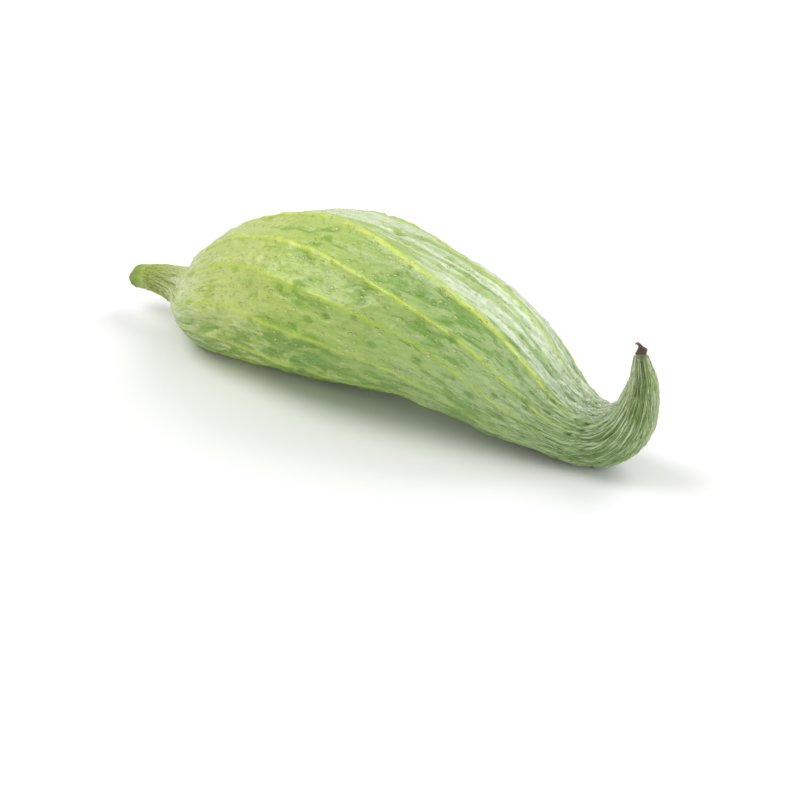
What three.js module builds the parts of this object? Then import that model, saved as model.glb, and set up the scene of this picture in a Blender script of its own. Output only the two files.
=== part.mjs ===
// Achocha, the fruit of Cyclanthera pedata, picked and laid down on its belly.
// The pod is one fleshy piece: a narrow neck at the stalk end, a fat body with ten blunt ribs that
// wind round it a little, and a beak that hooks upwards. A stub of the fruit stalk closes the neck,
// and the dried rest of the flower sits on the beak's tip.
// Frame: millimetres, +X from the stalk to the beak, +Z up, and the origin on the surface that the
// fruit lies on, under the middle of its outline.
import * as THREE from "three";

// Driving dimensions: the pod's outline box, and the gap between pieces that touch.
const LENGTH = 153;
const WIDTH = 50;
const HEIGHT = 44;
const JOINT_GAP = 0.3;

// The pod's sections, from the neck to the beak's tip. Each row holds the centre's place along the
// length, its offset to the side and its height, then the section's half width and half height, as
// shares of LENGTH, WIDTH, HEIGHT, WIDTH and HEIGHT.
const POD_SECTIONS = [
  [0.0, -0.07, 0.278, 0.07, 0.078],
  [0.026, -0.07, 0.287, 0.08, 0.091],
  [0.05, -0.07, 0.29, 0.092, 0.105],
  [0.083, -0.078, 0.29, 0.118, 0.132],
  [0.118, -0.098, 0.284, 0.18, 0.2],
  [0.147, -0.104, 0.298, 0.26, 0.276],
  [0.186, -0.088, 0.346, 0.333, 0.338],
  [0.244, -0.048, 0.418, 0.402, 0.402],
  [0.318, -0.012, 0.486, 0.462, 0.447],
  [0.401, 0.006, 0.534, 0.49, 0.465],
  [0.493, 0.004, 0.554, 0.468, 0.442],
  [0.591, -0.002, 0.541, 0.41, 0.4],
  [0.682, -0.008, 0.474, 0.356, 0.36],
  [0.76, -0.012, 0.363, 0.294, 0.302],
  [0.83, -0.01, 0.262, 0.222, 0.21],
  [0.883, 0.0, 0.222, 0.18, 0.18],
  [0.926, 0.0, 0.27, 0.156, 0.158],
  [0.957, 0.0, 0.41, 0.122, 0.128],
  [0.969, 0.0, 0.605, 0.078, 0.084],
  [0.963, 0.0, 0.777, 0.036, 0.041],
];
const POD_REST_LEVEL = 0.04; // where the underside is pressed flat, as a share of HEIGHT
const POD_RINGS = 80;
const POD_SEGMENTS = 60;

// The ribs: each one's angle at the middle of the pod, in degrees from the -Y side up over the top,
// and its height as a share of the section.
const RIBS = [
  [78, 0.034],
  [50, 0.034],
  [26, 0.02],
  [-6, 0.02],
  [-40, 0.024],
  [-76, 0.016],
  [-112, 0.018],
  [-148, 0.027],
  [158, 0.027],
  [118, 0.025],
];
const RIB_TWIST = -72; // degrees that the ribs wind round from the neck to the beak
const RIB_SPREAD = 7; // degrees from a crest to where the rib has fallen to about a third
const RIB_ROUNDING = 2; // degrees over which the crest is rounded

// The stalk stub, from its cut end to the neck, and the dried flower rest, from the beak's tip
// outwards: the centre's place in millimetres from the joint, and the radius there. The piece's own
// Z axis carries on along the pod's path at the joint.
const STALK_SECTIONS = [
  [1.9, 0.2, -4.9, 2.5],
  [1.0, 0.1, -4.0, 2.9],
  [0.3, 0.0, -2.6, 3.1],
  [0.0, 0.0, -1.2, 3.2],
  [0.0, 0.0, 0.0, 3.3],
];
const FLOWER_SECTIONS = [
  [0.0, 0.0, 0.0, 1.5],
  [0.0, 0.0, 0.7, 1.5],
  [-0.4, 0.0, 1.4, 1.1],
  [-1.3, 0.1, 2.0, 0.5],
];

// A smooth path through the sections' centres, with the half width and half height along it.
function pathThrough(sections) {
  const curve = (points) => new THREE.CatmullRomCurve3(points, false, "catmullrom", 0.5);
  const centre = curve(sections.map(([x, y, z]) => new THREE.Vector3(x, y, z)));
  const half = curve(sections.map(([, , , wide, high = wide]) => new THREE.Vector3(wide, high, 0)));
  return { centre, half };
}

// Height of the ribs at an angle round the section, as a share of its size.
function ribHeight(angle, along) {
  const wound = RIB_TWIST * (along - 0.5);
  return RIBS.reduce((sum, [middle, height]) => {
    const away = THREE.MathUtils.euclideanModulo(angle - middle - wound + 180, 360) - 180;
    return sum + height * Math.exp(-Math.hypot(away, RIB_ROUNDING) / RIB_SPREAD);
  }, 0);
}

// Bends a closed unit cylinder along a path: its axis becomes the path, its rim the sections.
// The section's first axis stays level, on the -Y side where the path runs along X.
function loft({ centre, half }, segments, rings, level, relief = () => 0) {
  const body = new THREE.CylinderGeometry(1, 1, 1, segments, rings);
  const corners = body.getAttribute("position");
  const corner = new THREE.Vector3();
  for (let i = 0; i < corners.count; i++) {
    corner.fromBufferAttribute(corners, i);
    const along = THREE.MathUtils.clamp(corner.y + 0.5, 0, 1);
    const t = centre.getUtoTmapping(along);
    const forward = centre.getTangent(t);
    const side = level.clone().addScaledVector(forward, -forward.dot(level)).normalize();
    const rise = side.clone().cross(forward);
    const angle = THREE.MathUtils.radToDeg(Math.atan2(corner.z, corner.x));
    const size = half.getPoint(t).multiplyScalar(1 + relief(angle, along));
    const place = centre.getPoint(t);
    place.addScaledVector(side, corner.x * size.x).addScaledVector(rise, corner.z * size.y);
    corners.setXYZ(i, place.x, place.y, place.z);
  }
  body.computeVertexNormals();
  return body;
}

// Presses the underside flat where the body rests, and fits the body to its outline box.
// Returns the fitting move, so that the path's ends can follow it.
function layDown(body) {
  const corners = body.getAttribute("position");
  const restLevel = POD_REST_LEVEL * HEIGHT;
  for (let i = 0; i < corners.count; i++) corners.setZ(i, Math.max(corners.getZ(i), restLevel));
  body.computeBoundingBox();
  const size = body.boundingBox.getSize(new THREE.Vector3());
  const fit = new THREE.Matrix4().makeScale(LENGTH / size.x, WIDTH / size.y, HEIGHT / size.z);
  body.applyMatrix4(fit);
  return fit;
}

// Sets a piece at one end of the pod, with its own Z axis carrying on along the pod's path.
function joinAt(piece, end, outwards) {
  const forward = podPath.centre.getTangent(end).transformDirection(podFit);
  piece.position.copy(podPath.centre.getPoint(end)).applyMatrix4(podFit);
  piece.position.addScaledVector(forward, outwards * JOINT_GAP);
  piece.quaternion.setFromUnitVectors(new THREE.Vector3(0, 0, 1), forward);
}

function skin(color, roughness) {
  return new THREE.MeshStandardMaterial({ color, roughness, metalness: 0 });
}

const NEAR_SIDE = new THREE.Vector3(0, -1, 0);

// Pod
const podPath = pathThrough(
  POD_SECTIONS.map(([along, side, rise, halfWidth, halfHeight]) => [
    along * LENGTH,
    side * WIDTH,
    rise * HEIGHT,
    halfWidth * WIDTH,
    halfHeight * HEIGHT,
  ]),
);
const podBody = loft(podPath, POD_SEGMENTS, POD_RINGS, NEAR_SIDE, ribHeight);
const podFit = layDown(podBody);
const pod = new THREE.Mesh(podBody, skin(0xa3bf6e, 0.42));
pod.name = "pod";

// Stalk stub
const stalkBody = loft(pathThrough(STALK_SECTIONS), 24, 10, NEAR_SIDE);
const stalk = new THREE.Mesh(stalkBody, skin(0x8fa54b, 0.55));
stalk.name = "stalk";
joinAt(stalk, 0, -1);

// Dried flower rest
const flowerBody = loft(pathThrough(FLOWER_SECTIONS), 16, 6, NEAR_SIDE);
const flowerRest = new THREE.Mesh(flowerBody, skin(0x8a6a3c, 0.9));
flowerRest.name = "flower_rest";
joinAt(flowerRest, 1, 1);

// The whole fruit, moved so that its outline box stands on the origin
const fruit = new THREE.Group();
fruit.add(pod, stalk, flowerRest);
fruit.updateMatrixWorld(true);
const outline = new THREE.Box3().setFromObject(fruit, true);
const middle = outline.getCenter(new THREE.Vector3());
fruit.position.set(-middle.x, -middle.y, -outline.min.z);

export default fruit;
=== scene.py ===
import math

import bpy
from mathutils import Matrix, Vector


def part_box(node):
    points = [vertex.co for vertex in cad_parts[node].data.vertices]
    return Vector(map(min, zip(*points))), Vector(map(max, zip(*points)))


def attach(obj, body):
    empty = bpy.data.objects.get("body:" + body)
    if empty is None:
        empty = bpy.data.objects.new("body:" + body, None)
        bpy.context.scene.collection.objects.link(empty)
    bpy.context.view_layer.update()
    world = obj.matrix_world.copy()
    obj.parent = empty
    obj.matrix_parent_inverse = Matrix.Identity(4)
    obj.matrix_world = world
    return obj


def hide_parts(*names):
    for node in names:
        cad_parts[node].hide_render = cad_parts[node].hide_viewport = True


# An achocha as picked, lying on its belly: the pod, the stub of its stalk and the dried flower rest.
# Metres, +X from the stalk to the beak, +Z up.
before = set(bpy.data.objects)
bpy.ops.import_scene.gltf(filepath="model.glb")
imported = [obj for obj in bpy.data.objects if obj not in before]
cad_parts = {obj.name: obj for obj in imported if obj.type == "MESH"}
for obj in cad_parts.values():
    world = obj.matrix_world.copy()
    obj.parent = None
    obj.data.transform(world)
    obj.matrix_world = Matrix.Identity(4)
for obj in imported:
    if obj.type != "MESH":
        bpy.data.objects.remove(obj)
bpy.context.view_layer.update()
MM = 0.001

# ---------------------------------------------------------------------------------------------
# Camera: a long lens, a little above the fruit and towards its beak, so that the beak comes
# forward and the neck falls back.
# ---------------------------------------------------------------------------------------------
CAMERA_TURN = math.radians(36)
CAMERA_RISE = math.radians(30)
CAMERA_DISTANCE = 560 * MM
CAMERA_AIM = Vector((6.8 * MM, -0.5 * MM, -1.8 * MM))

camera = bpy.data.objects.new("camera", bpy.data.cameras.new("camera"))
camera.data.lens = 100
camera.data.sensor_width = 36
camera.data.clip_start = 0.01
away = Vector((math.sin(CAMERA_TURN) * math.cos(CAMERA_RISE),
               -math.cos(CAMERA_TURN) * math.cos(CAMERA_RISE),
               math.sin(CAMERA_RISE)))
camera.location = CAMERA_AIM + away * CAMERA_DISTANCE
camera.rotation_euler = away.to_track_quat("Z", "Y").to_euler()
bpy.context.collection.objects.link(camera)
bpy.context.scene.camera = camera

# ---------------------------------------------------------------------------------------------
# Pod: one hollow, fleshy fruit with a thin waxy skin. It grew in one piece from the stalk: a neck,
# a fat body with ten blunt ribs that wind round it a little, and a wrinkled beak that hooks up.
# ---------------------------------------------------------------------------------------------
pod_low, pod_high = (Vector(corner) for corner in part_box("pod"))
LENGTH, WIDTH, HEIGHT = pod_high - pod_low

# From the neck to the beak's tip: the centre's place along the length, its offset to the side and
# its height, then the half width and half height there, as shares of LENGTH, WIDTH and HEIGHT.
POD_SECTIONS = [
    (0.0, -0.07, 0.278, 0.07, 0.078),
    (0.026, -0.07, 0.287, 0.08, 0.091),
    (0.05, -0.07, 0.29, 0.092, 0.105),
    (0.083, -0.078, 0.29, 0.118, 0.132),
    (0.118, -0.098, 0.284, 0.18, 0.2),
    (0.147, -0.104, 0.298, 0.26, 0.276),
    (0.186, -0.088, 0.346, 0.333, 0.338),
    (0.244, -0.048, 0.418, 0.402, 0.402),
    (0.318, -0.012, 0.486, 0.462, 0.447),
    (0.401, 0.006, 0.534, 0.49, 0.465),
    (0.493, 0.004, 0.554, 0.468, 0.442),
    (0.591, -0.002, 0.541, 0.41, 0.4),
    (0.682, -0.008, 0.474, 0.356, 0.36),
    (0.76, -0.012, 0.363, 0.294, 0.302),
    (0.83, -0.01, 0.262, 0.222, 0.21),
    (0.883, 0.0, 0.222, 0.18, 0.18),
    (0.926, 0.0, 0.27, 0.156, 0.158),
    (0.957, 0.0, 0.41, 0.122, 0.128),
    (0.969, 0.0, 0.605, 0.078, 0.084),
    (0.963, 0.0, 0.777, 0.036, 0.041),
]
POD_REST_LEVEL = 0.04  # where the underside is pressed flat, as a share of HEIGHT

# Each rib's angle at the middle of the pod, in degrees from the -Y side up over the top, how far it
# stands up, and how yellow its crest is, both as shares.
RIBS = [
    (-148, 0.8, 0.6),
    (-112, 0.6, 0.5),
    (-76, 0.5, 0.5),
    (-40, 0.75, 0.6),
    (-6, 0.6, 0.6),
    (26, 0.6, 0.7),
    (50, 0.9, 0.95),
    (78, 1.0, 1.0),
    (118, 0.7, 0.75),
    (158, 0.8, 0.7),
]
RIB_TWIST = -72  # degrees that the ribs wind round from the neck to the beak
SKIN_LENGTH = 190 * MM  # of the skin from end to end, along the bend
SKIN_RADIUS = 24 * MM  # of the body at its fattest


def node(tree, kind, links=(), **settings):
    """Adds a node, sets its settings, and links or sets its inputs by name or number."""
    made = tree.nodes.new(kind)
    for name, value in settings.items():
        setattr(made, name, value)
    for name, value in dict(links).items():
        socket = made.inputs[name]
        if isinstance(value, bpy.types.NodeSocket):
            tree.links.new(value, socket)
        else:
            socket.default_value = value
    return made


def calc(tree, operation, *values, clamp=False):
    """A math node on numbers or sockets; gives its output."""
    made = node(tree, "ShaderNodeMath", dict(enumerate(values)), operation=operation, use_clamp=clamp)
    return made.outputs[0]


def vector(tree, operation, *values, scale=None):
    """A vector math node on vectors or sockets; gives its output."""
    links = dict(enumerate(values))
    if scale is not None:
        links["Scale"] = scale
    made = node(tree, "ShaderNodeVectorMath", links, operation=operation)
    return made.outputs["Value" if operation in ("DOT_PRODUCT", "LENGTH") else "Vector"]


def fade(tree, value, start, end, low=0.0, high=1.0):
    """Runs smoothly from low to high while value runs from start to end."""
    links = {"Value": value, "From Min": start, "From Max": end, "To Min": low, "To Max": high}
    return node(tree, "ShaderNodeMapRange", links, interpolation_type="SMOOTHSTEP").outputs[0]


def noise(tree, place, scale, detail=2.0, roughness=0.5, distortion=0.0):
    """Cloudy noise from 0 to 1 at a place."""
    links = {"Vector": place, "Scale": scale, "Detail": detail,
             "Roughness": roughness, "Distortion": distortion}
    return node(tree, "ShaderNodeTexNoise", links).outputs[0]


def pits(tree, place, spacing, size, share):
    """Round marks, 1 at the middle and 0 outside, in a share of the cells of a scattered pattern."""
    cells = node(tree, "ShaderNodeTexVoronoi", {"Vector": place, "Scale": 1 / spacing})
    chance = node(tree, "ShaderNodeSeparateXYZ", {0: cells.outputs["Color"]}).outputs
    radius = calc(tree, "MULTIPLY", calc(tree, "MULTIPLY_ADD", chance[1], 0.7, 0.5), size / spacing)
    mark = fade(tree, calc(tree, "DIVIDE", cells.outputs["Distance"], radius), 1.0, 0.25)
    return calc(tree, "MULTIPLY", mark, calc(tree, "LESS_THAN", chance[0], share))


def rib_lookup(tree, turn, column):
    """Height or yellowness of the ribs over one turn of the skin, from a drawn curve."""
    curve = node(tree, "ShaderNodeFloatCurve", {"Value": turn})
    points = curve.mapping.curves[0].points
    angles = [(rib[0] + 180) / 360 for rib in RIBS]
    valleys = [(a + b) / 2 for a, b in zip(angles, angles[1:])]
    while len(points) < 2 * len(RIBS) + 1:
        points.new(0.5, 0.0)
    places = [(0.0, 0.0)] + [(a, 0.0) for a in valleys] + [(1.0, 0.0)]
    places += [(a, rib[column]) for a, rib in zip(angles, RIBS)]
    for point, place in zip(points, places):
        point.location = place
    curve.mapping.update()
    for point in points:
        point.handle_type = "VECTOR" if point.location[1] > 0 else "AUTO"
    curve.mapping.update()
    return curve.outputs[0]


def mesh_line(name, rows):
    """A line of corners through the sections' centres, with each section's half size kept on it."""
    line = bpy.data.meshes.new(name)
    line.from_pydata([row[:3] for row in rows], [(i, i + 1) for i in range(len(rows) - 1)], [])
    half = line.attributes.new("half_size", "FLOAT_VECTOR", "POINT")
    for item, row in zip(half.data, rows):
        item.vector = (row[3], row[4], 0)
    made = bpy.data.objects.new(name, line)
    bpy.context.collection.objects.link(made)
    return made


def loft_tree(name, relief):
    """A node tree that wraps a closed skin round the sections of a mesh line.

    relief is a function that builds the nodes for the skin's height above the sections.
    It leaves on each corner: along, 0 to 1 from end to end; turn, 0 to 1 round; and skin, its
    place on the skin unrolled to a straight bar, in metres.
    """
    tree = bpy.data.node_groups.new(name, "GeometryNodeTree")
    sockets = tree.interface
    sockets.new_socket("Sections", in_out="INPUT", socket_type="NodeSocketGeometry")
    for word, start in (("Rings", 100), ("Segments", 64), ("Cap Rings", 3)):
        sockets.new_socket(word, in_out="INPUT", socket_type="NodeSocketInt").default_value = start
    for word in ("Skin Length", "Skin Radius", "Relief"):
        sockets.new_socket(word, in_out="INPUT", socket_type="NodeSocketFloat").default_value = 1
    sockets.new_socket("Skin Material", in_out="INPUT", socket_type="NodeSocketMaterial")
    sockets.new_socket("Body", in_out="OUTPUT", socket_type="NodeSocketGeometry")
    given = node(tree, "NodeGroupInput").outputs

    line = node(tree, "GeometryNodeMeshToCurve", {"Mesh": given["Sections"]})
    line = node(tree, "GeometryNodeCurveSplineType", {"Curve": line.outputs[0]}, spline_type="CATMULL_ROM")
    line = node(tree, "GeometryNodeSetSplineResolution", {"Geometry": line.outputs[0], "Resolution": 24})
    bar = node(tree, "GeometryNodeMeshCylinder",
               {"Vertices": given["Segments"], "Side Segments": given["Rings"],
                "Fill Segments": given["Cap Rings"], "Radius": 1.0, "Depth": 1.0},
               fill_type="TRIANGLE_FAN")

    place = node(tree, "ShaderNodeSeparateXYZ", {0: node(tree, "GeometryNodeInputPosition").outputs[0]})
    across, up, depth = place.outputs
    along = calc(tree, "ADD", depth, 0.5, clamp=True)
    angle = calc(tree, "ARCTAN2", up, across)
    turn = calc(tree, "DIVIDE", angle, 2 * math.pi)
    flat = node(tree, "ShaderNodeCombineXYZ", {"X": 0.0, "Y": across, "Z": up}).outputs[0]
    round_place = vector(tree, "SCALE", flat, scale=given["Skin Radius"])
    run = calc(tree, "MULTIPLY", along, given["Skin Length"])
    skin = vector(tree, "ADD", round_place, node(tree, "ShaderNodeCombineXYZ", {"X": run}).outputs[0])

    shape = bar.outputs["Mesh"]
    kept = {"along": ("FLOAT", along), "turn": ("FLOAT", turn), "skin": ("FLOAT_VECTOR", skin)}
    for word, (kind, value) in kept.items():
        shape = node(tree, "GeometryNodeStoreNamedAttribute",
                     {"Geometry": shape, "Name": word, "Value": value}, data_type=kind).outputs[0]

    half = node(tree, "GeometryNodeInputNamedAttribute", {"Name": "half_size"}, data_type="FLOAT_VECTOR")
    sample = node(tree, "GeometryNodeSampleCurve",
                  {"Curves": line.outputs[0], "Value": half.outputs[0], "Factor": along},
                  mode="FACTOR", data_type="FLOAT_VECTOR")
    forward = vector(tree, "NORMALIZE", sample.outputs["Tangent"])
    lean = vector(tree, "SCALE", forward, scale=vector(tree, "DOT_PRODUCT", forward, (0, -1, 0)))
    side = vector(tree, "NORMALIZE", vector(tree, "SUBTRACT", (0, -1, 0), lean))
    rise = vector(tree, "CROSS_PRODUCT", side, forward)
    size = node(tree, "ShaderNodeSeparateXYZ", {0: sample.outputs["Value"]}).outputs
    height = calc(tree, "MULTIPLY", relief(tree, along, turn, skin, size[0]), given["Relief"])
    wide = calc(tree, "MULTIPLY", across, calc(tree, "ADD", size[0], height))
    high = calc(tree, "MULTIPLY", up, calc(tree, "ADD", size[1], height))
    middle = vector(tree, "ADD", sample.outputs["Position"], vector(tree, "SCALE", side, scale=wide))
    corner = vector(tree, "ADD", middle, vector(tree, "SCALE", rise, scale=high))

    shape = node(tree, "GeometryNodeSetPosition", {"Geometry": shape, "Position": corner}).outputs[0]
    shape = node(tree, "GeometryNodeSetShadeSmooth", {"Geometry": shape}).outputs[0]
    shape = node(tree, "GeometryNodeRealizeInstances", {"Geometry": shape}).outputs[0]
    shape = node(tree, "GeometryNodeSetMaterial", {"Geometry": shape, "Material": given["Skin Material"]})
    node(tree, "NodeGroupOutput", {"Body": shape.outputs[0]})
    return tree


def stretched(tree, skin, share):
    """The skin's place with its length drawn out, so that marks on it run lengthwise."""
    return vector(tree, "MULTIPLY", skin, (share, 1, 1))


def wound_turn(tree, along, turn, skin):
    """The share of a turn with the ribs' winding taken out, so that each rib keeps one value."""
    wander = calc(tree, "SUBTRACT", noise(tree, stretched(tree, skin, 0.6), 28, 1.0), 0.5)
    winding = calc(tree, "MULTIPLY", calc(tree, "SUBTRACT", along, 0.5), -RIB_TWIST / 360)
    straight = calc(tree, "ADD", turn, calc(tree, "MULTIPLY_ADD", wander, 0.03, winding))
    return calc(tree, "FRACT", calc(tree, "ADD", straight, 1.5))


# Heights and depths of the pod's relief. Dents and ribs are shares of the half width.
RIB_SHARE = 0.05
DENT_SHARE = 0.075
WRINKLE_DEPTH = 0.1 * MM
BEAK_WRINKLE_DEPTH = 0.42 * MM
WORN_DEPTH = 0.34 * MM
GRAIN_HEIGHT = 0.9 * MM
PIT_SPACING = 4.2 * MM
PIT_SIZE = 1.7 * MM
PIT_DEPTH = 0.45 * MM
PIT_CHANCE = 0.5


def worn_streaks(tree, skin):
    """Noise drawn out lengthwise: where it is high, the bloom is worn off."""
    return noise(tree, stretched(tree, skin, 0.34), 260, 5.0, 0.62, 0.6)


def wrinkle_noise(tree, skin):
    """Noise drawn out lengthwise: the wrinkles run where it is near 0.5."""
    return noise(tree, stretched(tree, skin, 0.2), 400, 4.0, 0.6, 0.7)


def skin_pits(tree, skin):
    return pits(tree, stretched(tree, skin, 0.7), PIT_SPACING, PIT_SIZE, PIT_CHANCE)


def pod_relief(tree, along, turn, skin, half_width):
    """Ribs, dents, lengthwise wrinkles, pits, worn streaks and a fine grain, in metres."""
    beak = fade(tree, along, 0.66, 0.9)
    neck = fade(tree, along, 0.22, 0.06)
    straight = wound_turn(tree, along, turn, skin)
    rib_height = calc(tree, "MULTIPLY", half_width, RIB_SHARE)
    rib = calc(tree, "MULTIPLY", rib_lookup(tree, straight, 1), rib_height)

    dents = calc(tree, "SUBTRACT", noise(tree, stretched(tree, skin, 0.5), 110, 3.0), 0.5)
    dents = calc(tree, "MULTIPLY", dents, calc(tree, "MULTIPLY", half_width, DENT_SHARE))

    cloud = wrinkle_noise(tree, skin)
    furrow = calc(tree, "ABSOLUTE", calc(tree, "SUBTRACT", cloud, 0.5))
    furrow = fade(tree, furrow, 0.0, 0.11, -1.0, 0.0)
    depth = calc(tree, "MULTIPLY_ADD", beak, BEAK_WRINKLE_DEPTH, WRINKLE_DEPTH)
    depth = calc(tree, "MULTIPLY_ADD", neck, WRINKLE_DEPTH, depth)
    furrow = calc(tree, "MULTIPLY", furrow, depth)

    pit = skin_pits(tree, skin)
    pit = calc(tree, "MULTIPLY", pit, -PIT_DEPTH)

    worn = fade(tree, worn_streaks(tree, skin), 0.46, 0.62)
    worn = calc(tree, "MULTIPLY", worn, -WORN_DEPTH)
    grain = calc(tree, "SUBTRACT", noise(tree, stretched(tree, skin, 0.6), 520, 2.0), 0.5)
    grain = calc(tree, "MULTIPLY", grain, GRAIN_HEIGHT)

    total = calc(tree, "ADD", rib, dents)
    for part in (furrow, pit, worn, grain):
        total = calc(tree, "ADD", total, part)
    return calc(tree, "MULTIPLY", total, fade(tree, along, 0.0, 0.02))


def build_body(name, rows, tree, sizes, material):
    """Runs a loft tree on a mesh line and gives the finished plain mesh object."""
    made = mesh_line(name, rows)
    loft = made.modifiers.new("loft", "NODES")
    loft.node_group = tree
    for item in tree.interface.items_tree:
        if item.in_out == "INPUT" and item.name in sizes:
            loft[item.identifier] = sizes[item.name]
        if item.in_out == "INPUT" and item.name == "Skin Material":
            loft[item.identifier] = material
    bpy.context.view_layer.update()
    evaluated = made.evaluated_get(bpy.context.evaluated_depsgraph_get())
    body = bpy.data.meshes.new_from_object(evaluated)
    made.modifiers.remove(loft)
    made.data = body
    return made


def fit_to_box(body, low, high, rest_level=None):
    """Presses the underside flat and fits the mesh to its box."""
    corners = [corner.co.copy() for corner in body.data.vertices]
    if rest_level is not None:
        for corner in corners:
            corner.z = max(corner.z, rest_level)
    lowest = Vector(min(corner[i] for corner in corners) for i in range(3))
    highest = Vector(max(corner[i] for corner in corners) for i in range(3))
    for vertex, corner in zip(body.data.vertices, corners):
        vertex.co = [low[i] + (corner[i] - lowest[i]) * (high[i] - low[i]) / (highest[i] - lowest[i])
                     for i in range(3)]
    body.data.update()


def colour(red, green, blue):
    """A colour named by its 0 to 255 values, as the shader's linear colour."""
    linear = [((c / 255 + 0.055) / 1.055) ** 2.4 if c > 10 else c / 3294.6 for c in (red, green, blue)]
    return (*linear, 1.0)


def attribute(tree, name, output="Fac"):
    return node(tree, "ShaderNodeAttribute", attribute_name=name).outputs[output]


def ramp(tree, value, stops):
    """A colour ramp through (place, colour) stops."""
    made = node(tree, "ShaderNodeValToRGB", {"Fac": value})
    made.color_ramp.interpolation = "EASE"
    elements = made.color_ramp.elements
    while len(elements) < len(stops):
        elements.new(0.5)
    for element, (place, shade) in zip(elements, stops):
        element.position = place
        element.color = shade
    return made.outputs[0]


def blend_colour(tree, mask, under, over):
    """Lays one colour over another where the mask is 1; gives the colour."""
    made = node(tree, "ShaderNodeMix", {0: mask, 6: under, 7: over}, data_type="RGBA")
    return made.outputs[2]


# Shared by all three skins: fine lengthwise fibres in the skin.
def fibre_group():
    tree = bpy.data.node_groups.new("skin_fibres", "ShaderNodeTree")
    sockets = tree.interface
    sockets.new_socket("Skin", in_out="INPUT", socket_type="NodeSocketVector")
    for word, start in (("Stretch", 0.1), ("Scale", 900.0), ("Contrast", 0.2)):
        sockets.new_socket(word, in_out="INPUT", socket_type="NodeSocketFloat").default_value = start
    sockets.new_socket("Fibre", in_out="OUTPUT", socket_type="NodeSocketFloat")
    given = node(tree, "NodeGroupInput").outputs
    squeeze = node(tree, "ShaderNodeCombineXYZ", {"X": given["Stretch"], "Y": 1.0, "Z": 1.0}).outputs[0]
    place = vector(tree, "MULTIPLY", given["Skin"], squeeze)
    cloud = node(tree, "ShaderNodeTexNoise",
                 {"Vector": place, "Scale": given["Scale"], "Detail": 3.0, "Distortion": 0.4}).outputs[0]
    low = calc(tree, "SUBTRACT", 0.5, given["Contrast"])
    high = calc(tree, "ADD", 0.5, given["Contrast"])
    node(tree, "NodeGroupOutput", {"Fibre": fade(tree, cloud, low, high)})
    return tree


skin_fibres = fibre_group()


def fibres(tree, skin, stretch, scale, contrast):
    made = node(tree, "ShaderNodeGroup", node_tree=skin_fibres)
    for name, value in (("Skin", skin), ("Stretch", stretch), ("Scale", scale), ("Contrast", contrast)):
        if isinstance(value, bpy.types.NodeSocket):
            tree.links.new(value, made.inputs[name])
        else:
            made.inputs[name].default_value = value
    return made.outputs["Fibre"]


def new_skin(name):
    material = bpy.data.materials.new(name)
    material.use_nodes = True
    tree = material.node_tree
    tree.nodes.clear()
    shader = node(tree, "ShaderNodeBsdfPrincipled")
    node(tree, "ShaderNodeOutputMaterial", {"Surface": shader.outputs[0]})
    return material, tree, shader


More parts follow.
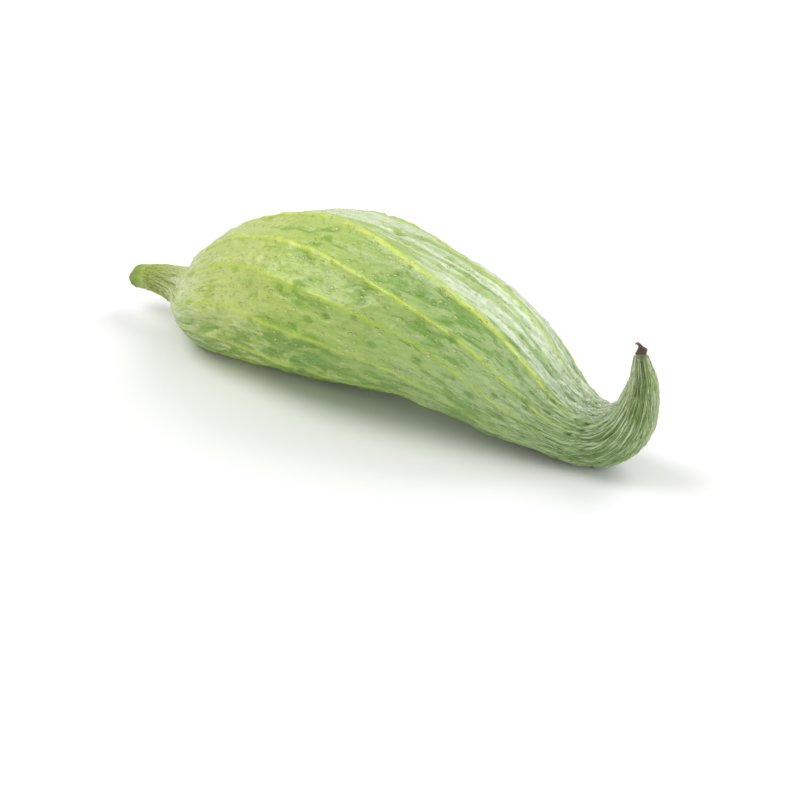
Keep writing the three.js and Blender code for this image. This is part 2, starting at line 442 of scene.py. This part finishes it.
def pod_skin():
    """Waxy skin: bright green below a pale bloom, which is worn off in streaks and in the pits."""
    material, tree, shader = new_skin("achocha_skin")
    along = attribute(tree, "along")
    turn = attribute(tree, "turn")
    skin = attribute(tree, "skin", "Vector")
    straight = wound_turn(tree, along, turn, skin)
    beak = fade(tree, along, 0.62, 0.9)

    # Where along the pod, made uneven so that the colours don't change in a straight ring.
    uneven = noise(tree, stretched(tree, skin, 0.5), 45, 2.0)
    blurred = calc(tree, "ADD", along, calc(tree, "MULTIPLY_ADD", uneven, 0.16, -0.08))
    bloom_colour = ramp(tree, blurred, [
        (0.0, colour(174, 194, 70)), (0.1, colour(220, 230, 178)), (0.22, colour(202, 214, 130)),
        (0.36, colour(182, 202, 100)), (0.5, colour(168, 190, 104)), (0.68, colour(168, 192, 128)),
        (0.84, colour(164, 188, 130)), (1.0, colour(214, 230, 170)),
    ])
    bare_colour = ramp(tree, blurred, [
        (0.0, colour(140, 164, 60)), (0.2, colour(160, 188, 48)), (0.4, colour(116, 158, 30)),
        (0.6, colour(112, 154, 50)), (0.8, colour(90, 126, 44)), (1.0, colour(130, 160, 78)),
    ])

    # Bare streaks in the bloom, more of them low on the body.
    streak = worn_streaks(tree, skin)
    patch = noise(tree, stretched(tree, skin, 0.5), 60, 2.0)
    upward = calc(tree, "SINE", calc(tree, "MULTIPLY", turn, 2 * math.pi))
    low_side = fade(tree, upward, 0.1, -0.7)
    bare = calc(tree, "ADD", streak, calc(tree, "MULTIPLY_ADD", patch, 0.5, -0.25))
    bare = calc(tree, "MULTIPLY_ADD", low_side, 0.1, bare)
    flank = rib_lookup(tree, straight, 2)
    bare = calc(tree, "MULTIPLY_ADD", fade(tree, flank, 0.25, 0.7), 0.05, bare)
    bare = fade(tree, bare, 0.52, 0.62)
    shade = blend_colour(tree, calc(tree, "MULTIPLY", bare, 0.78), bloom_colour, bare_colour)

    # Low on the body near the neck the skin is a darker, stronger green: partly the bare green skin,
    # partly painted shade where the underside turns away from the light.
    low_green_and_shade = calc(tree, "MULTIPLY", fade(tree, upward, 0.3, -0.2), fade(tree, along, 0.62, 0.36))
    low_green_and_shade = calc(tree, "MULTIPLY", low_green_and_shade, fade(tree, along, 0.08, 0.14))
    low_green_and_shade = calc(tree, "MULTIPLY", low_green_and_shade, fade(tree, streak, 0.36, 0.54))
    shade = blend_colour(tree, calc(tree, "MULTIPLY", low_green_and_shade, 0.9), shade, colour(100, 146, 14))
    mottle = fade(tree, noise(tree, stretched(tree, skin, 0.5), 620, 4.0, 0.65, 0.5), 0.45, 0.66)
    shade = blend_colour(tree, calc(tree, "MULTIPLY", mottle, 0.3), shade, bare_colour)

    # On top, behind the highest rib, the skin is whitened in streaks: partly thick bloom, partly a painted
    # sheen of light.
    top = fade(tree, calc(tree, "ABSOLUTE", calc(tree, "SUBTRACT", straight, 0.835)), 0.14, 0.09)
    bloom_and_sheen = fade(tree, noise(tree, stretched(tree, skin, 0.12), 330, 4.0, 0.6), 0.4, 0.56)
    bloom_and_sheen = calc(tree, "MULTIPLY", calc(tree, "MULTIPLY", top, bloom_and_sheen), fade(tree, along, 0.2, 0.4))
    shade = blend_colour(tree, calc(tree, "MULTIPLY", bloom_and_sheen, 0.8), shade, colour(226, 235, 212))

    # Fine fibres.
    fibre = fibres(tree, skin, 0.08, 700.0, 0.2)
    shade = blend_colour(tree, calc(tree, "MULTIPLY", fibre, 0.22), shade, bare_colour)

    # Rib crests: a yellow-green line.
    broken = fade(tree, noise(tree, stretched(tree, skin, 0.3), 170, 3.0), 0.22, 0.48)
    broken = calc(tree, "MULTIPLY", broken, fade(tree, along, 0.86, 0.7))
    wide = calc(tree, "ADD", flank, fade(tree, along, 0.6, 0.3, 0.0, 0.12))
    band = calc(tree, "MULTIPLY", fade(tree, wide, 0.3, 0.62), broken)
    shade = blend_colour(tree, calc(tree, "MULTIPLY", band, 0.7), shade, colour(176, 202, 62))
    crest = calc(tree, "MULTIPLY", fade(tree, wide, 0.56, 0.86), broken)
    shade = blend_colour(tree, calc(tree, "MULTIPLY", crest, 0.75), shade, colour(212, 224, 112))

    # Cork has grown along the highest rib, where it runs into the beak.
    cork = fade(tree, rib_lookup(tree, straight, 1), 0.86, 0.97)
    cork = calc(tree, "MULTIPLY", cork, fade(tree, along, 0.76, 0.8))
    cork = calc(tree, "MULTIPLY", cork, fade(tree, noise(tree, skin, 900, 3.0), 0.4, 0.55))
    shade = blend_colour(tree, calc(tree, "MULTIPLY", cork, 0.8), shade, colour(200, 184, 134))

    # Pits show the dark green below, and pale specks are scattered between them.
    pit = skin_pits(tree, skin)
    shade = blend_colour(tree, calc(tree, "MULTIPLY", pit, 0.7), shade, bare_colour)
    speck = pits(tree, stretched(tree, skin, 0.8), 1.35 * MM, 0.6 * MM, 0.6)
    shade = blend_colour(tree, calc(tree, "MULTIPLY", speck, 0.55), shade, colour(214, 222, 150))

    # The beak's furrows are dark at the bottom and pale with bloom between.
    cloud = wrinkle_noise(tree, skin)
    furrow = fade(tree, calc(tree, "ABSOLUTE", calc(tree, "SUBTRACT", cloud, 0.5)), 0.09, 0.0)
    deep = calc(tree, "MULTIPLY", furrow, calc(tree, "MULTIPLY_ADD", beak, 0.6, 0.15))
    shade = blend_colour(tree, deep, shade, bare_colour)
    tops = fade(tree, calc(tree, "ABSOLUTE", calc(tree, "SUBTRACT", cloud, 0.5)), 0.06, 0.16)
    tops = calc(tree, "MULTIPLY", tops, calc(tree, "MULTIPLY", beak, 0.55))
    shade = blend_colour(tree, tops, shade, colour(200, 214, 186))

    tree.links.new(shade, shader.inputs["Base Color"])
    rough = calc(tree, "MULTIPLY_ADD", bare, -0.1, 0.36)
    tree.links.new(calc(tree, "MULTIPLY_ADD", fibre, 0.08, rough), shader.inputs["Roughness"])

    height = calc(tree, "MULTIPLY", fibre, -0.25)
    height = calc(tree, "MULTIPLY_ADD", speck, 0.9, height)
    height = calc(tree, "MULTIPLY_ADD", pit, -0.8, height)
    height = calc(tree, "MULTIPLY_ADD", noise(tree, skin, 700, 3.0), 1.1, height)
    height = calc(tree, "MULTIPLY_ADD", streak, -0.8, height)
    bump = node(tree, "ShaderNodeBump", {"Height": height, "Strength": 0.9, "Distance": 0.5 * MM})
    tree.links.new(bump.outputs[0], shader.inputs["Normal"])
    shader.inputs["Subsurface Weight"].default_value = 0.12
    shader.inputs["Subsurface Radius"].default_value = (0.5, 0.8, 0.25)
    shader.inputs["Subsurface Scale"].default_value = 3 * MM
    shader.inputs["Coat Weight"].default_value = 0.45
    shader.inputs["Coat Roughness"].default_value = 0.2
    return material


def section_rows(sections):
    return [(along * LENGTH, side * WIDTH, rise * HEIGHT, half_width * WIDTH, half_height * HEIGHT)
            for along, side, rise, half_width, half_height in sections]


pod_sizes = {"Rings": 330, "Segments": 286, "Cap Rings": 4,
             "Skin Length": SKIN_LENGTH, "Skin Radius": SKIN_RADIUS, "Relief": 1.0}
pod = build_body("pod_skin", section_rows(POD_SECTIONS), loft_tree("pod_loft", pod_relief),
                 pod_sizes, pod_skin())
fit_to_box(pod, pod_low, pod_high, POD_REST_LEVEL * HEIGHT)
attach(pod, "root")
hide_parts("pod")

# ---------------------------------------------------------------------------------------------
# Stalk: the last stub of the fruit stalk, snapped off a little way from the neck. It is firm,
# darker than the neck, lightly ridged, and bends down to its browned end.
# ---------------------------------------------------------------------------------------------
stalk_low, stalk_high = (Vector(corner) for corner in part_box("stalk"))

# From the snapped end to the neck: the centre's place and the half size, as shares of the box.
STALK_SECTIONS = [
    (0.28, 0.5, 0.2, 0.36),
    (0.34, 0.5, 0.33, 0.42),
    (0.5, 0.5, 0.45, 0.46),
    (0.72, 0.5, 0.52, 0.47),
    (1.0, 0.5, 0.54, 0.5),
]


def stalk_relief(tree, along, turn, skin, half_width):
    """Blunt ridges round the stalk, and a ragged end."""
    ridge = calc(tree, "SINE", calc(tree, "MULTIPLY", turn, 2 * math.pi * 9))
    ridge = calc(tree, "MULTIPLY", ridge, calc(tree, "MULTIPLY", half_width, 0.05))
    ragged = calc(tree, "SUBTRACT", noise(tree, skin, 900, 3.0), 0.5)
    ragged = calc(tree, "MULTIPLY", ragged, calc(tree, "MULTIPLY", half_width, 0.25))
    return calc(tree, "ADD", ridge, calc(tree, "MULTIPLY", ragged, fade(tree, along, 0.6, 0.0)))


def stalk_skin():
    """Green stalk, browned and corky where it snapped."""
    material, tree, shader = new_skin("stalk_skin")
    along = attribute(tree, "along")
    skin = attribute(tree, "skin", "Vector")
    fibre = fibres(tree, skin, 0.15, 1800.0, 0.25)
    shade = ramp(tree, along, [
        (0.0, colour(112, 134, 44)), (0.5, colour(140, 163, 58)), (1.0, colour(168, 188, 82)),
    ])
    shade = blend_colour(tree, calc(tree, "MULTIPLY", fibre, 0.4), shade, colour(112, 136, 52))
    edge = calc(tree, "ADD", along, calc(tree, "MULTIPLY_ADD", noise(tree, skin, 900), 0.3, -0.15))
    end = fade(tree, edge, 0.14, 0.0)
    shade = blend_colour(tree, end, shade, colour(136, 92, 58))
    tree.links.new(shade, shader.inputs["Base Color"])
    tree.links.new(calc(tree, "MULTIPLY_ADD", end, 0.3, 0.5), shader.inputs["Roughness"])
    height = calc(tree, "MULTIPLY_ADD", noise(tree, skin, 2500, 3.0), 0.6, fibre)
    bump = node(tree, "ShaderNodeBump", {"Height": height, "Strength": 0.5, "Distance": 0.15 * MM})
    tree.links.new(bump.outputs[0], shader.inputs["Normal"])
    return material


def box_rows(sections, low, high):
    """Sections given as shares of a box, in metres."""
    size = high - low
    return [(x * size.x, y * size.y, z * size.z, half * size.y, half * size.y)
            for x, y, z, half in sections]


stalk_sizes = {"Rings": 60, "Segments": 96, "Cap Rings": 12,
               "Skin Length": stalk_high.x - stalk_low.x, "Skin Radius": 3.2 * MM, "Relief": 1.0}
stalk = build_body("stalk_skin", box_rows(STALK_SECTIONS, stalk_low, stalk_high),
                   loft_tree("stalk_loft", stalk_relief), stalk_sizes, stalk_skin())
fit_to_box(stalk, stalk_low, stalk_high)
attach(stalk, "root")
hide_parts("stalk")

# ---------------------------------------------------------------------------------------------
# Flower rest: the shrivelled base of the flower on the beak's tip. It dried to a dark scar with
# a brown, papery shred.
# ---------------------------------------------------------------------------------------------
flower_low, flower_high = (Vector(corner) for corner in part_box("flower_rest"))
FLOWER_SECTIONS = [
    (0.56, 0.5, 0.0, 0.47),
    (0.54, 0.5, 0.16, 0.46),
    (0.48, 0.5, 0.36, 0.3),
    (0.36, 0.52, 0.6, 0.13),
    (0.18, 0.5, 0.72, 0.1),
    (0.0, 0.44, 0.66, 0.05),
]


def flower_relief(tree, along, turn, skin, half_width):
    """Shrivelled folds."""
    fold = calc(tree, "SUBTRACT", noise(tree, stretched(tree, skin, 0.4), 900, 3.0, 0.6), 0.5)
    return calc(tree, "MULTIPLY", fold, calc(tree, "MULTIPLY", half_width, 0.9))


def dried_flower():
    """Dry, papery brown, nearly black in the folds."""
    material, tree, shader = new_skin("dried_flower")
    along = attribute(tree, "along")
    skin = attribute(tree, "skin", "Vector")
    fibre = fibres(tree, skin, 0.2, 2600.0, 0.15)
    shade = ramp(tree, along, [
        (0.0, colour(96, 84, 58)), (0.4, colour(84, 70, 48)), (1.0, colour(176, 138, 92)),
    ])
    shade = blend_colour(tree, calc(tree, "MULTIPLY", fibre, 0.6), shade, colour(58, 48, 34))
    tree.links.new(shade, shader.inputs["Base Color"])
    tree.links.new(calc(tree, "MULTIPLY_ADD", fibre, 0.1, 0.8), shader.inputs["Roughness"])
    bump = node(tree, "ShaderNodeBump", {"Height": fibre, "Strength": 0.6, "Distance": 0.1 * MM})
    tree.links.new(bump.outputs[0], shader.inputs["Normal"])
    return material


flower_sizes = {"Rings": 60, "Segments": 64, "Cap Rings": 8,
                "Skin Length": 4 * MM, "Skin Radius": 1.5 * MM, "Relief": 1.0}
flower = build_body("dried_flower", box_rows(FLOWER_SECTIONS, flower_low, flower_high),
                    loft_tree("flower_loft", flower_relief), flower_sizes, dried_flower())
fit_to_box(flower, flower_low, flower_high)
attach(flower, "root")
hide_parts("flower_rest")

# ---------------------------------------------------------------------------------------------
# Setting: a plain white floor and soft white light from above, behind and the left.
# ---------------------------------------------------------------------------------------------
FLOOR_HALF = 3.0
floor_mesh = bpy.data.meshes.new("floor")
floor_mesh.from_pydata([(-FLOOR_HALF, -FLOOR_HALF, 0), (FLOOR_HALF, -FLOOR_HALF, 0),
                        (FLOOR_HALF, FLOOR_HALF, 0), (-FLOOR_HALF, FLOOR_HALF, 0)], [], [(0, 1, 2, 3)])
floor = bpy.data.objects.new("floor", floor_mesh)
bpy.context.collection.objects.link(floor)
floor_paint = bpy.data.materials.new("floor_paint")
floor_paint.use_nodes = True
floor_paint.node_tree.nodes["Principled BSDF"].inputs["Base Color"].default_value = (0.9, 0.9, 0.9, 1)
floor_paint.node_tree.nodes["Principled BSDF"].inputs["Roughness"].default_value = 0.9
floor_mesh.materials.append(floor_paint)

# Each lamp's turn and rise round the fruit in degrees, its distance and size in metres, and power.
LAMPS = {
    "top_left": (-60, 58, 0.9, 0.6, 3.6),
    "behind": (160, 45, 0.9, 0.7, 3.4),
    "front_right": (75, 28, 1.0, 0.8, 3.2),
}
for name, (lamp_turn, lamp_rise, distance, lamp_size, power) in LAMPS.items():
    lamp = bpy.data.objects.new(name, bpy.data.lights.new(name, "AREA"))
    lamp.data.shape = "DISK"
    lamp.data.size = lamp_size
    lamp.data.energy = power
    a, e = math.radians(lamp_turn), math.radians(lamp_rise)
    towards = Vector((math.sin(a) * math.cos(e), -math.cos(a) * math.cos(e), math.sin(e)))
    lamp.location = towards * distance
    lamp.rotation_euler = towards.to_track_quat("Z", "Y").to_euler()
    bpy.context.collection.objects.link(lamp)

world = bpy.data.worlds.new("white_room")
world.use_nodes = True
world.node_tree.nodes["Background"].inputs["Color"].default_value = (1, 1, 1, 1)
world.node_tree.nodes["Background"].inputs["Strength"].default_value = 0.52
bpy.context.scene.world = world
bpy.context.scene.view_settings.view_transform = "Standard"
